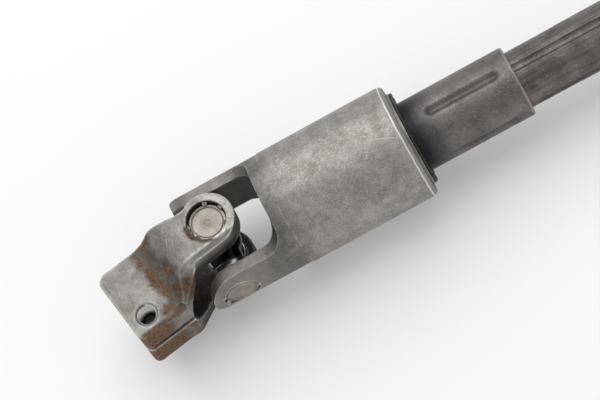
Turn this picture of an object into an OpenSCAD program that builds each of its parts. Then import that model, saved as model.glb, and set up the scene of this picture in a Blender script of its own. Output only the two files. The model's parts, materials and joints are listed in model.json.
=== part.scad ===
// Lower end of a steering column: a split clamp yoke, a universal joint with needle-bearing cups,
// a tubular yoke that carries the column on a rubber bush, and a telescopic pair of tubes.
// +X runs along the column towards its upper end, +Z is up. The origin is the centre of the upper end face.

/* [Column] */
// Distance from the centre of the universal joint to the upper end face
column_length = 240; // [225:1:300]
// Tilt of the cross about its level trunnions, as it lies
pitch = 6; // [-18:0.1:18]
// Angle of the clamp yoke about the other two trunnions, as it lies
bend = 12.3; // [-20:0.1:14]

/* [Universal joint] */
// Size of the cross over the outer faces of two opposite bearing cups
cross_span = 43; // [40:0.5:44]
// Outer diameter of a bearing cup
cup_d = 15; // [13:0.5:16]
// Length of a bearing cup
cup_length = 10.2; // [9.4:0.1:11]
// Wall of a bearing cup
cup_wall = 1.2; // [0.9:0.1:1.4]
// Floor of a bearing cup
cup_floor = 1.6; // [1.2:0.1:2]
// Diameter of a needle roller
needle_d = 1.8; // [1.5:0.1:2]
// Thickness of the thrust pad between a cup's floor and the trunnion
pad_t = 0.5; // [0.3:0.1:0.8]
// Depth of a seal's lip inside the cup
seal_depth = 1.5; // [1:0.1:2]
// Thickness of a seal's flange outside the cup
seal_flange_t = 0.7; // [0.5:0.1:0.9]
// Radius of the forged centre of the cross
cross_core_r = 8.5; // [8:0.1:9.2]

/* [Clamp yoke] */
// Length of the split clamp block along its bore
clamp_block_l = 21.3; // [17:0.1:26]
// Height of the split clamp block
clamp_block_h = 28; // [26:0.5:31]
// Distance from the bore's axis to the face that is split
clamp_split_y = 18.3; // [17.5:0.1:20]
// Distance from the bore's axis to the closed face
clamp_closed_y = 12.4; // [12:0.1:15]
// Diameter of the bore for the steering gear's shaft
clamp_bore_d = 16.5; // [15.5:0.5:17.5]
// Width of the slit
clamp_slit = 2.6; // [1.5:0.1:4]
// Diameter of the tapped pinch bolt hole in the upper flange
bolt_tap_d = 8; // [6:0.5:8.5]
// Diameter of the plain pinch bolt hole in the lower flange
bolt_clear_d = 8.5; // [6.5:0.5:9]
// Distance of the pinch bolt from the bore's axis
bolt_offset = 11.3; // [11:0.1:12]
// Distance of the pinch bolt from the block's outer end
bolt_from_end = 7.5; // [6:0.1:9]
// Thickness of an arm of the fork at its ear
clamp_arm_t = 11; // [10:0.5:12]
// Width of an arm of the fork
clamp_arm_w = 20.6; // [20:0.1:23]
// Distance from the cross to the round end of an arm
clamp_arm_end = 11; // [10.5:0.1:12]
// Depth of a bearing cup's face below the ear's face
cup_recess = 3; // [2:0.1:4]
// Distance from the cross to the floor of the fork
fork_depth = 24.5; // [23:0.5:28]
// Radius of the forged valley between the block and an arm
valley_r = 10; // [8:0.5:11]
// Radius of the forged shoulder at the outside of an arm
shoulder_r = 14; // [12:0.5:15]
// Length of the gusset that runs from a flange of the clamp to its arm
gusset_run = 11.5; // [8:0.5:13]

/* [Tubular yoke] */
// Outside diameter of the tubular yoke
tube_yoke_d = 46; // [45:0.5:49]
// Wall of the tubular yoke at its ears
tube_yoke_wall = 4; // [3.5:0.1:4.5]
// Distance from the cross to the end of the tubular yoke
tube_yoke_end = 81.5; // [72:0.5:95]
// Width of an ear of the tubular yoke
ear_w = 23; // [21:0.5:25]
// Distance from the cross to the root of the window between the ears
window_root = 23.5; // [23:0.5:25]
// Corner radius at the root of the window
window_fillet = 8; // [6:0.5:9]
// Distance from the cross to the end of the turned neck
neck_end = 28.3; // [27:0.1:31]
// How much lower the turned neck is than the tube
neck_step = 0.25; // [0.1:0.05:0.4]

/* [Rubber bush] */
// Length of the outer sleeve of the bush
bush_l = 45; // [36:1:46]
// Wall of the outer sleeve
outer_sleeve_wall = 1; // [0.8:0.1:1.2]
// Thickness of the rubber between the two sleeves
rubber_t = 2.8; // [2:0.1:3.2]
// Wall of the inner sleeve
inner_sleeve_wall = 1; // [0.8:0.1:1.2]
// How far the outer sleeve stands out of the tubular yoke
sleeve_proud = 1; // [0.5:0.1:2]
// Thickness of the rubber lip over the end of the sleeve
lip_t = 1.5; // [1.2:0.1:2.4]
// Largest twist of the bush either way before its stops meet, in degrees
twist = 5; // [2:0.5:7]

/* [Telescopic tubes] */
// Wall of the column tube
column_tube_wall = 2.4; // [2.2:0.1:2.8]
// Distance from the cross to the mouth of the column tube
column_tube_end = 127.5; // [124:0.5:140]
// Length of a pressed dimple in the column tube
dimple_l = 31; // [20:1:32]
// Distance from the mouth of the tube to the near end of its dimples
dimple_from_mouth = 5.2; // [4:0.1:9]
// Radius of the ridge that a dimple makes inside the tube
ridge_r = 2; // [1.6:0.1:2.2]
// Length of the inner shaft
inner_shaft_l = 172; // [160:1:180]
// Bore of the hollow inner shaft
inner_shaft_bore = 13; // [10:0.5:14]
// Outside diameter of the serrated upper stub
stub_d = 17.4; // [16.5:0.1:18.5]
// Number of serrations on the upper stub
stub_teeth = 36; // [30:1:40]
// Length of the serrated upper stub
stub_l = 26; // [20:1:30]
// Length of the plain pilot at the upper end
pilot_l = 6; // [5:0.5:8]

/* [Hidden] */
$fn = 96;

// Clearances: a pressed or bonded seat, a running bearing, a sliding fit, and parts that pass each other
seat_gap = 0.02;
bearing_gap = 0.05;
slide_gap = 0.25;
passing_gap = 0.2;
// How far a cutter reaches past the face it opens, and how far a blend reaches into what it joins
cut_over = 1;

// The four ends of the cross, as turns of an upright one
UPPER = [0, pitch, 0];
LOWER = [180, pitch, 0];
FRONT = [90, 0, 0];
REAR = [-90, 0, 0];

// Bearing, outwards from the cross
cup_r = cup_d / 2;
cup_face = cross_span / 2;
cup_mouth = cup_face - cup_length;
cup_floor_at = cup_face - cup_floor;
race_r = cup_r - cup_wall;
needle_r = needle_d / 2;
needle_pitch_r = race_r - bearing_gap - needle_r;
trunnion_r = needle_pitch_r - needle_r - bearing_gap;
trunnion_end = cup_floor_at - pad_t - bearing_gap;
trunnion_edge = 0.4;
needle_start = cup_mouth + seal_depth + passing_gap;
needle_l = cup_floor_at - passing_gap - needle_start;
needle_count = floor(180 / asin((needle_r + bearing_gap / 2) / needle_pitch_r));
pad_r = trunnion_r - passing_gap;
seal_hole_r = trunnion_r + passing_gap;
seal_flange_inset = 0.3;
seal_flange_r = cup_r - seal_flange_inset;
cross_shoulder_inset = 0.1;
cross_shoulder_r = race_r - cross_shoulder_inset;
cross_shoulder_end = cup_mouth - seal_flange_t - passing_gap;

// Turned marks on a cup's face
cup_edge = 0.5;
face_groove_inset = 0.5;
face_groove_r = race_r - face_groove_inset;
face_groove_w = 0.35;
face_groove_depth = 0.25;
face_dimple_r = 1.2;
face_dimple_depth = 0.3;

// Clamp yoke
arm_face = cup_face + cup_recess;
arm_half = clamp_arm_w / 2;
ear_x = clamp_arm_end - arm_half;
fork_half = arm_face - clamp_arm_t;
fork_round_x = -fork_depth + fork_half;
block_inner_x = -fork_depth;
block_outer_x = -fork_depth - clamp_block_l;
block_half = clamp_block_h / 2;
block_closed_corner = 4;
block_split_corner = 2.5;
block_top_round = 2.2;
gusset_end_x = block_inner_x + gusset_run;
gusset_drop = 4.5;
gusset_top = arm_face - gusset_drop;
waist_inset = 1.3;
waist_y = arm_half - waist_inset;
waist_from_ear = 9.5;
waist_x = ear_x - waist_from_ear;
flare_run = 11;
arm_bevel = 2;
bolt_x = block_outer_x + bolt_from_end;
bolt_countersink = 0.6;
clamp_bore_r = clamp_bore_d / 2;
clamp_bore_chamfer = 0.8;
spotface_margin = 1.25;
spotface_r = clamp_bore_r + spotface_margin;
// The valley and the shoulder are tangent arcs: their centres lie one sum of radii apart
valley_z = block_half + valley_r;
shoulder_z = arm_face - shoulder_r;
joggle_run = sqrt(pow(valley_r + shoulder_r, 2) - pow(shoulder_z - valley_z, 2));
valley_setback = 5.7;
valley_x = -fork_depth - valley_setback;
shoulder_x = valley_x + joggle_run;

// Tubular yoke
tube_yoke_r = tube_yoke_d / 2;
ear_bore_r = tube_yoke_r - tube_yoke_wall;
ear_half = ear_w / 2;
tube_chamfer_x = 1.5;
tube_chamfer_r = 1;

// Bush and column tube, inwards from the wall of the tubular yoke
bush_end = tube_yoke_end + sleeve_proud;
bush_start = bush_end - bush_l;
bush_seat_r = tube_yoke_r - tube_yoke_wall;
outer_sleeve_r = bush_seat_r - seat_gap;
outer_sleeve_bore_r = outer_sleeve_r - outer_sleeve_wall;
rubber_r = outer_sleeve_bore_r - seat_gap;
rubber_bore_r = rubber_r - rubber_t;
inner_sleeve_r = rubber_bore_r - bearing_gap;
inner_sleeve_bore_r = inner_sleeve_r - inner_sleeve_wall;
inner_sleeve_inset = 2;
column_tube_r = inner_sleeve_bore_r - seat_gap;
column_tube_bore_r = column_tube_r - column_tube_wall;
column_tube_foot = 27;
column_tube_chamfer = 1;
lip_over = 0.2;
lip_r = bush_seat_r + lip_over;
lip_bore_r = column_tube_r + passing_gap;

// Twist stops: lugs on the ring at the tube's foot, in notches of a flange inside the tubular yoke
stop_ring_wall = 1.5;
stop_ring_bore_r = column_tube_r + seat_gap;
stop_ring_r = stop_ring_bore_r + stop_ring_wall;
stop_flange_r = stop_ring_r + 2 * passing_gap;
stop_flange_setback = 2;
stop_flange_start = window_root + stop_flange_setback;
stop_flange_t = 6;
stop_ring_t = 4;
stop_ring_start = column_tube_foot;
lug_h = 2;
lug_r = stop_ring_r + lug_h;
notch_r = lug_r + 2 * passing_gap;
lug_half_angle = 12;
notch_spare_angle = 0.5;
notch_half_angle = lug_half_angle + twist + notch_spare_angle;
stop_count = 4;

// Pressed dimples, their ridges and the flutes of the inner shaft
dimple_count = 4;
dimple_end = column_tube_end - dimple_from_mouth;
dimple_start = dimple_end - dimple_l;
dimple_wall = 2.15;
ridge_sunk = 0.8;
ridge_at = column_tube_bore_r + ridge_sunk;
dimple_wider = 0.5;
dimple_r = ridge_r + dimple_wider;
dimple_at = ridge_at - ridge_r + dimple_wall + dimple_r;
flute_r = ridge_r + passing_gap;

// Inner shaft
inner_shaft_r = column_tube_bore_r - slide_gap;
inner_shaft_start = column_length - inner_shaft_l;
raised_from_mouth = 20.5;
raised_start = column_tube_end + raised_from_mouth;
raised_r = column_tube_bore_r - slide_gap / 2;
stub_r = stub_d / 2;
stub_tooth_h = 0.6;
pilot_step = 0.1;
pilot_r = stub_r - stub_tooth_h - pilot_step;
stub_end = column_length - pilot_l;
stub_start = stub_end - stub_l;
stub_shoulder = 0.4;
shoulder_taper = 3;
flute_runout = 4;
flute_end = stub_start - shoulder_taper - flute_runout;
solid_end_l = 18;
shaft_bore_end = stub_start - solid_end_l;
bolt_groove_r = 4.5;
bolt_groove_depth = 1.2;
bolt_groove_at = stub_start + stub_l / 2;
bolt_groove_land = 0.4;
bolt_groove_half = bolt_groove_land
    + sqrt(pow(bolt_groove_r, 2) - pow(bolt_groove_r - bolt_groove_depth, 2));

// Moves the joint's own axes, which start at the cross, to the upper end
module placed() {
    translate([-column_length, 0, 0]) children();
}

// Turns what is drawn along +Z to lie along +X
module along_x() {
    rotate([0, 90, 0]) children();
}

// Draws a flat shape in X and Z, and gives it a depth to both sides of the middle plane
module side_on(half_depth) {
    rotate([90, 0, 0]) linear_extrude(2 * half_depth, center = true) children();
}

// The web between two edges that meet at the origin and a round that touches both:
// it is cut from an outer corner, or added to an inner one
module corner_web(r) {
    difference() {
        translate([-cut_over, -cut_over]) square(r + cut_over);
        translate([r, r]) circle(r);
    }
}

// A pie slice of a disc, centred on +X
module slice(r, half_angle) {
    reach = r / cos(half_angle);
    intersection() {
        circle(r);
        polygon([
            [0, 0],
            [reach * cos(half_angle), -reach * sin(half_angle)],
            [reach * cos(half_angle), reach * sin(half_angle)],
        ]);
    }
}

// A rod along X with ball ends
module capsule(r, start, end) {
    translate([start, 0, 0]) along_x() cylinder(end - start, r, r);
    translate([start, 0, 0]) sphere(r);
    translate([end, 0, 0]) sphere(r);
}

// Deep-drawn bearing cup with a turned groove and a centre mark on its face
module bearing_cup(end) {
    color("darkgray") placed() rotate(end) rotate_extrude() polygon([
        [0, cup_floor_at],
        [race_r, cup_floor_at],
        [race_r, cup_mouth],
        [cup_r, cup_mouth],
        [cup_r, cup_face - cup_edge],
        [cup_r - cup_edge, cup_face],
        [face_groove_r + face_groove_w, cup_face],
        [face_groove_r + face_groove_w, cup_face - face_groove_depth],
        [face_groove_r, cup_face - face_groove_depth],
        [face_groove_r, cup_face],
        [face_dimple_r, cup_face],
        [0, cup_face - face_dimple_depth],
    ]);
}

// Full complement of needle rollers in one cup
module needles(end) {
    color("silver") placed() rotate(end)
        for (i = [0 : needle_count - 1])
            rotate(i * 360 / needle_count)
                translate([needle_pitch_r, 0, needle_start])
                    cylinder(needle_l, needle_r, needle_r);
}

// Thrust pad that lies on the floor of a cup
module thrust_pad(end) {
    color("ivory") placed() rotate(end)
        translate([0, 0, cup_floor_at - pad_t]) cylinder(pad_t, pad_r, pad_r);
}

// Seal pressed into the mouth of a cup, with a flange over the rim
module seal(end) {
    color("black") placed() rotate(end) rotate_extrude() polygon([
        [seal_hole_r, cup_mouth - seal_flange_t],
        [seal_flange_r, cup_mouth - seal_flange_t],
        [seal_flange_r, cup_mouth],
        [race_r - seat_gap, cup_mouth],
        [race_r - seat_gap, cup_mouth + seal_depth],
        [seal_hole_r, cup_mouth + seal_depth],
    ]);
}

// Two opposite trunnions of the cross with their forged shoulders, as one turning along +Z
module trunnion_pair() {
    rotate_extrude() polygon([
        [0, -trunnion_end],
        [trunnion_r - trunnion_edge, -trunnion_end],
        [trunnion_r, trunnion_edge - trunnion_end],
        [trunnion_r, -cross_shoulder_end],
        [cross_shoulder_r, -cross_shoulder_end],
        [cross_shoulder_r, cross_shoulder_end],
        [trunnion_r, cross_shoulder_end],
        [trunnion_r, trunnion_end - trunnion_edge],
        [trunnion_r - trunnion_edge, trunnion_end],
        [0, trunnion_end],
    ]);
}

// Forged cross with four ground trunnions
module cross() {
    color("gray") placed() union() {
        sphere(cross_core_r);
        rotate(UPPER) trunnion_pair();
        rotate(REAR) trunnion_pair();
    }
}

// Upper half of the clamp yoke seen from the side: block, valley, shoulder and arm
module clamp_side_half() {
    translate([block_outer_x, 0]) square([valley_x - block_outer_x, block_half]);
    difference() {
        polygon([[valley_x, 0], [shoulder_x, 0], [shoulder_x, shoulder_z], [valley_x, valley_z]]);
        translate([valley_x, valley_z]) circle(valley_r);
    }
    translate([shoulder_x, shoulder_z]) circle(shoulder_r);
    translate([shoulder_x, 0]) square([clamp_arm_end - shoulder_x, arm_face]);
}

// The clamp yoke seen from the side, with the round floor of its fork
module clamp_side() {
    difference() {
        union() {
            clamp_side_half();
            mirror([0, 1]) clamp_side_half();
        }
        translate([fork_round_x, 0]) circle(fork_half);
        translate([fork_round_x, -fork_half]) square([2 * clamp_arm_end - fork_round_x, 2 * fork_half]);
    }
}

// The clamp yoke seen from above: block with round corners, neck and round ears
module clamp_plan() {
    difference() {
        polygon([
            [block_outer_x, -clamp_split_y],
            [block_inner_x, -clamp_split_y],
            [gusset_end_x, -arm_half],
            [ear_x, -arm_half],
            [ear_x, waist_y],
            [waist_x, waist_y],
            [waist_x - flare_run, clamp_closed_y],
            [block_outer_x, clamp_closed_y],
        ]);
        translate([block_outer_x, clamp_closed_y]) mirror([0, 1]) corner_web(block_closed_corner);
        translate([block_outer_x, -clamp_split_y]) corner_web(block_split_corner);
    }
    translate([ear_x, 0]) circle(arm_half);
}

// What is taken off beside an arm, seen along the bore: above a slope from the arm down to the flange
module beside_arm() {
    polygon([
        [-arm_half, gusset_top],
        [-clamp_split_y - cut_over, block_half],
        [-clamp_split_y - cut_over, arm_face + cut_over],
        [-arm_half, arm_face + cut_over],
    ]);
}

// Forged clamp yoke: fork for the cross on one end, split and bored clamp on the other
module clamp_yoke() {
    color("dimgray") placed() rotate(UPPER) rotate(bend) difference() {
        intersection() {
            side_on(clamp_split_y + cut_over) clamp_side();
            linear_extrude(2 * arm_face + 2 * cut_over, center = true) clamp_plan();
        }
        // seats of the bearing cups
        cylinder(2 * arm_face + 2 * cut_over, cup_r + seat_gap, cup_r + seat_gap, center = true);
        // bore with its mouth chamfer and the spotface on the floor of the fork
        translate([block_outer_x - cut_over, 0, 0]) along_x()
            cylinder(clamp_block_l + fork_half, clamp_bore_r, clamp_bore_r);
        translate([block_outer_x, 0, 0]) along_x()
            cylinder(clamp_bore_chamfer, clamp_bore_r + clamp_bore_chamfer, clamp_bore_r);
        translate([block_inner_x, 0, 0]) along_x() cylinder(fork_half, spotface_r, spotface_r);
        // slit
        translate([block_outer_x - cut_over, -clamp_split_y - cut_over, -clamp_slit / 2])
            cube([clamp_block_l + fork_half, clamp_split_y + cut_over, clamp_slit]);
        // pinch bolt: tapped above the slit, plain below it
        translate([bolt_x, -bolt_offset, 0])
            cylinder(block_half + cut_over, bolt_tap_d / 2, bolt_tap_d / 2);
        translate([bolt_x, -bolt_offset, block_half - bolt_countersink])
            cylinder(bolt_countersink, bolt_tap_d / 2, bolt_tap_d / 2 + bolt_countersink);
        translate([bolt_x, -bolt_offset, -block_half - cut_over])
            cylinder(block_half + cut_over, bolt_clear_d / 2, bolt_clear_d / 2);
        // round along the top edge of the upper flange
        translate([block_inner_x, -clamp_split_y, block_half]) rotate([90, 0, -90])
            linear_extrude(clamp_block_l + cut_over) mirror([1, 1]) corner_web(block_top_round);
        for (flip = [0, 1]) mirror([0, 0, flip]) {
            // slopes of the gussets
            translate([valley_x, 0, 0]) rotate([90, 0, 90])
                linear_extrude(gusset_end_x + cut_over - valley_x) beside_arm();
            // bevels along the open side of both arms
            translate([shoulder_x, -arm_half, arm_face]) rotate([45, 0, 0])
                translate([0, -arm_half, -arm_bevel / sqrt(2)])
                    cube([2 * clamp_arm_end - shoulder_x, clamp_arm_w, arm_half]);
        }
    }
}

// Outline of the tubular yoke seen from the side: two round ears, the filleted window, the tube
module window_side() {
    circle(ear_half);
    translate([0, -ear_half]) square([window_root + cut_over, ear_w]);
    translate([window_root, -tube_yoke_d]) square([tube_yoke_end, 2 * tube_yoke_d]);
    for (flip = [0, 1])
        mirror([0, flip]) translate([window_root, ear_half]) mirror([1, 0]) corner_web(window_fillet);
}

// Turned tube with two ears, a lower neck and the notched stop flange inside
module tube_yoke() {
    color("slategray") placed() difference() {
        intersection() {
            along_x() rotate_extrude() polygon([
                [ear_bore_r, -ear_w],
                [tube_yoke_r - neck_step, -ear_w],
                [tube_yoke_r - neck_step, neck_end],
                [tube_yoke_r, neck_end + neck_step],
                [tube_yoke_r, tube_yoke_end - tube_chamfer_x],
                [tube_yoke_r - tube_chamfer_r, tube_yoke_end],
                [bush_seat_r, tube_yoke_end],
                [bush_seat_r, stop_flange_start + stop_flange_t],
                [stop_flange_r, stop_flange_start + stop_flange_t],
                [stop_flange_r, stop_flange_start],
                [ear_bore_r, stop_flange_start],
            ]);
            side_on(tube_yoke_d) window_side();
        }
        rotate(FRONT) cylinder(2 * tube_yoke_d, cup_r + seat_gap, cup_r + seat_gap, center = true);
        translate([stop_flange_start - cut_over, 0, 0]) along_x()
            linear_extrude(stop_flange_t + 2 * cut_over)
                for (i = [0 : stop_count - 1])
                    rotate(i * 360 / stop_count) slice(notch_r, notch_half_angle);
    }
}

// Plain sleeve along X
module sleeve(r, bore_r, start, end) {
    along_x() rotate_extrude() polygon([[bore_r, start], [r, start], [r, end], [bore_r, end]]);
}

// Outer sleeve of the bush, pressed into the tubular yoke
module bush_outer_sleeve() {
    color("gray") placed() sleeve(outer_sleeve_r, outer_sleeve_bore_r, bush_start, bush_end);
}

// Rubber of the bush, with a round lip over the end of the outer sleeve
module bush_rubber() {
    color("black") placed() along_x() rotate_extrude() {
        polygon([
            [rubber_bore_r, bush_start],
            [rubber_r, bush_start],
            [rubber_r, bush_end],
            [lip_r - lip_t / 2, bush_end],
            [lip_r - lip_t / 2, bush_end + lip_t],
            [lip_bore_r, bush_end + lip_t],
            [lip_bore_r, bush_end],
            [rubber_bore_r, bush_end],
        ]);
        translate([lip_r - lip_t / 2, bush_end + lip_t / 2]) circle(lip_t / 2);
    }
}

// Inner sleeve of the bush, pressed on the column tube
module bush_inner_sleeve() {
    start = bush_start + inner_sleeve_inset;
    end = bush_end - inner_sleeve_inset;
    color("gray") placed() sleeve(inner_sleeve_r, inner_sleeve_bore_r, start, end);
}

// Ring on the foot of the column tube, with lugs that meet the notches when the rubber gives too far
module stop_ring() {
    color("gray") placed() translate([stop_ring_start, 0, 0]) along_x() linear_extrude(stop_ring_t)
        difference() {
            union() {
                circle(stop_ring_r);
                for (i = [0 : stop_count - 1])
                    rotate(i * 360 / stop_count) slice(lug_r, lug_half_angle);
            }
            circle(stop_ring_bore_r);
        }
}

// Column tube with oblong dimples pressed in near its mouth
module column_tube() {
    color("dimgray") placed() difference() {
        union() {
            along_x() rotate_extrude() polygon([
                [column_tube_bore_r, column_tube_foot],
                [column_tube_r, column_tube_foot],
                [column_tube_r, column_tube_end - column_tube_chamfer / 2],
                [column_tube_r - column_tube_chamfer / 2, column_tube_end],
                [column_tube_bore_r + column_tube_chamfer / 2, column_tube_end],
                [column_tube_bore_r, column_tube_end - column_tube_chamfer / 2],
            ]);
            for (i = [0 : dimple_count - 1])
                rotate([i * 360 / dimple_count, 0, 0]) translate([0, 0, ridge_at])
                    capsule(ridge_r, dimple_start + dimple_r, dimple_end - dimple_r);
        }
        for (i = [0 : dimple_count - 1])
            rotate([i * 360 / dimple_count, 0, 0]) translate([0, 0, dimple_at])
                capsule(dimple_r, dimple_start + dimple_r, dimple_end - dimple_r);
    }
}

// Serrated outline of the upper stub
module serrations() {
    step = 360 / stub_teeth;
    polygon([
        for (i = [0 : stub_teeth - 1], edge = [[0.1, 0], [0.4, 1], [0.6, 1], [0.9, 0]])
            let (r = stub_r - stub_tooth_h + edge[1] * stub_tooth_h, turn = (i + edge[0]) * step)
                [r * cos(turn), r * sin(turn)]
    ]);
}

// Turned outline of the inner shaft, with the ring groove that the upper pinch bolt passes through
module inner_shaft_turning() {
    difference() {
        polygon([
            [0, inner_shaft_start],
            [inner_shaft_r, inner_shaft_start],
            [inner_shaft_r, raised_start],
            [raised_r, raised_start + slide_gap],
            [raised_r, stub_start - shoulder_taper],
            [stub_r + stub_shoulder, stub_start],
            [pilot_r, stub_start],
            [pilot_r, column_length],
            [0, column_length],
        ]);
        translate([pilot_r - bolt_groove_depth + bolt_groove_r, bolt_groove_at]) circle(bolt_groove_r);
    }
}

// Hollow fluted shaft that slides in the column tube, with a serrated stub at its upper end
module inner_shaft() {
    bore_r = inner_shaft_bore / 2;
    color("dimgray") placed() difference() {
        union() {
            along_x() rotate_extrude() inner_shaft_turning();
            for (span = [
                [stub_start - cut_over, bolt_groove_at - bolt_groove_half],
                [bolt_groove_at + bolt_groove_half, stub_end],
            ])
                translate([span[0], 0, 0]) along_x() linear_extrude(span[1] - span[0]) serrations();
        }
        translate([inner_shaft_start - cut_over, 0, 0]) along_x()
            cylinder(shaft_bore_end - inner_shaft_start + cut_over, bore_r, bore_r);
        for (i = [0 : dimple_count - 1])
            rotate([i * 360 / dimple_count, 0, 0]) translate([0, 0, ridge_at])
                capsule(flute_r, inner_shaft_start - flute_r - cut_over, flute_end);
    }
}

clamp_yoke();
bearing_cup(UPPER);  // clamp_cup_upper
needles(UPPER);  // clamp_needles_upper
thrust_pad(UPPER);  // clamp_pad_upper
seal(UPPER);  // clamp_seal_upper
bearing_cup(LOWER);  // clamp_cup_lower
needles(LOWER);  // clamp_needles_lower
thrust_pad(LOWER);  // clamp_pad_lower
seal(LOWER);  // clamp_seal_lower
cross();
bearing_cup(FRONT);  // tube_cup_front
needles(FRONT);  // tube_needles_front
thrust_pad(FRONT);  // tube_pad_front
seal(FRONT);  // tube_seal_front
bearing_cup(REAR);  // tube_cup_rear
needles(REAR);  // tube_needles_rear
thrust_pad(REAR);  // tube_pad_rear
seal(REAR);  // tube_seal_rear
tube_yoke();
bush_outer_sleeve();
bush_rubber();
bush_inner_sleeve();
stop_ring();
column_tube();
inner_shaft();
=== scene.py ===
import json
from math import cos, pi, radians, sin, tau

import bmesh
import bpy
import numpy as np
from mathutils import Matrix, Vector, noise


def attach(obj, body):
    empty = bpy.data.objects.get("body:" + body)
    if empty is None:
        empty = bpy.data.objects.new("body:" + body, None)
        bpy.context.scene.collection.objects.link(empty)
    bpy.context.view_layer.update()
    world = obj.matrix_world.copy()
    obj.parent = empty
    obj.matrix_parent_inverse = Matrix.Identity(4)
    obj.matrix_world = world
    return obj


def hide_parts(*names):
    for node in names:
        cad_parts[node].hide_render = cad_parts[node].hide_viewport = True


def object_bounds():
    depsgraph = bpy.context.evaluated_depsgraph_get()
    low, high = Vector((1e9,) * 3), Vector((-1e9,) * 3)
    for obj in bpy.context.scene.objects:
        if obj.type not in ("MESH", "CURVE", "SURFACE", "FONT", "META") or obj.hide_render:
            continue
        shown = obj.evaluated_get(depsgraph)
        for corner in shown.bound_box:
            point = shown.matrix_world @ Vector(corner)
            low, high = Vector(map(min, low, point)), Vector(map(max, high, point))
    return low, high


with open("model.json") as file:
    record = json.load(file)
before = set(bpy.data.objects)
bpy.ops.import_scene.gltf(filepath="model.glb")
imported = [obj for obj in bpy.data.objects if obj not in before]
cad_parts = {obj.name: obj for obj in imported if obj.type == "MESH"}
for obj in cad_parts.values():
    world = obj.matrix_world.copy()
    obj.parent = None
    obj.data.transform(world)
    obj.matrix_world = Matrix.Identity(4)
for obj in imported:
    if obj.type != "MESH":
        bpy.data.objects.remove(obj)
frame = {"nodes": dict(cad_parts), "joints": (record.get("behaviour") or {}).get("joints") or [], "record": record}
cad_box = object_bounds()

# Studio: a pale table under one large soft lamp that hangs over the part, a little behind and to its left.
# An even sky and a weak lamp on the other side keep the shaded sides readable.
MM = 0.001
joints = {joint["name"]: joint for joint in frame["joints"]}
joint_centre = Vector(joints["cross_pivot"]["pos_m"])
scene = bpy.context.scene
scene.view_settings.view_transform = "Standard"

camera_data = bpy.data.cameras.new("camera")
camera_data.sensor_width = 36
camera_data.lens = 130.2
camera_azimuth = radians(12.56)
camera_tilt = radians(25.1)
camera_roll = radians(-40)
camera_distance = 819.7 * MM
camera_aim = joint_centre + Vector((34.23, 1.13, -2.97)) * MM
camera_turn = (
    Matrix.Rotation(camera_azimuth, 4, "Z")
    @ Matrix.Rotation(camera_tilt, 4, "X")
    @ Matrix.Rotation(camera_roll, 4, "Z")
)
picture_right, picture_up, picture_back = (Vector(column[:3]) for column in camera_turn.transposed()[:3])
camera = bpy.data.objects.new("camera", camera_data)
camera.matrix_world = Matrix.Translation(camera_aim + picture_back * camera_distance) @ camera_turn
scene.collection.objects.link(camera)
scene.camera = camera


def soft_lamp(name, direction, distance, size, power):
    """Hangs a square lamp in a direction seen from the middle of the picture, facing that middle."""
    lamp_data = bpy.data.lights.new(name, "AREA")
    lamp_data.size = size
    lamp_data.energy = power
    lamp = bpy.data.objects.new(name, lamp_data)
    away = picture_right * direction[0] + picture_up * direction[1] + picture_back * direction[2]
    away.normalize()
    lamp.location = camera_aim + away * distance
    lamp.rotation_euler = away.to_track_quat("Z", "Y").to_euler()
    scene.collection.objects.link(lamp)


soft_lamp("key_lamp", direction=(-0.45, 0.75, 0.70), distance=1.25, size=1.6, power=10.5)
soft_lamp("fill_lamp", direction=(0.9, -0.1, 0.6), distance=1.3, size=0.6, power=0.8)

sky_strength = 0.64
world = bpy.data.worlds.new("even_sky")
world.use_nodes = True
sky = world.node_tree.nodes["Background"].inputs
sky["Color"].default_value = (1, 1, 1, 1)
sky["Strength"].default_value = sky_strength
scene.world = world


def new_material(name):
    """A node material: gives it back with its tree and its Principled shader."""
    material = bpy.data.materials.new(name)
    material.use_nodes = True
    tree = material.node_tree
    return material, tree, tree.nodes["Principled BSDF"]


def add_node(tree, kind, inputs=(), **settings):
    """Adds a node with these settings.
    Each of its inputs is a socket's name or number, with a value or with another socket."""
    node = tree.nodes.new(kind)
    for name, value in settings.items():
        setattr(node, name, value)
    for key, value in inputs:
        if isinstance(value, bpy.types.NodeSocket):
            tree.links.new(value, node.inputs[key])
        else:
            node.inputs[key].default_value = value
    return node


def connect(tree, node, **values):
    """Links sockets to the inputs of these names."""
    for name, value in values.items():
        tree.links.new(value, node.inputs[name.replace("_", " ")])


def calc(tree, operation, first, second=0.0, third=0.0, clamp=False):
    """Works out one step of arithmetic and gives back its socket."""
    inputs = ((0, first), (1, second), (2, third))
    return add_node(tree, "ShaderNodeMath", inputs, operation=operation, use_clamp=clamp).outputs[0]


def new_object(name, mesh):
    """Puts a mesh in the scene as an object of that name."""
    piece = bpy.data.objects.new(name, mesh)
    scene.collection.objects.link(piece)
    return piece


table_half = 2.5
table_gap = 0.1 * MM
table_z = cad_box[0][2] - table_gap
table_corners = ((-1, -1), (1, -1), (1, 1), (-1, 1))
table_points = [(along * table_half, across * table_half, table_z) for along, across in table_corners]
table_glow = 0.135
table_material, table_tree, table_shader = new_material("white_table")
table_shader.inputs["Base Color"].default_value = (0.80, 0.80, 0.80, 1)
table_shader.inputs["Roughness"].default_value = 0.6
table_shader.inputs["Emission Color"].default_value = (1, 1, 1, 1)
table_rays = add_node(table_tree, "ShaderNodeLightPath").outputs
table_seen = calc(table_tree, "MAXIMUM", table_rays["Is Camera Ray"], table_rays["Is Glossy Ray"])
table_light = calc(table_tree, "MULTIPLY", table_seen, table_glow)
connect(table_tree, table_shader, Emission_Strength=table_light)
table_mesh = bpy.data.meshes.new("table")
table_mesh.from_pydata(table_points, [], [(0, 1, 2, 3)])
table_mesh.materials.append(table_material)
new_object("table", table_mesh)

# Cross: a forged steel cross with four ground trunnions, dark with old grease.
# It keeps its CAD shape and only gets its finish here.


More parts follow.
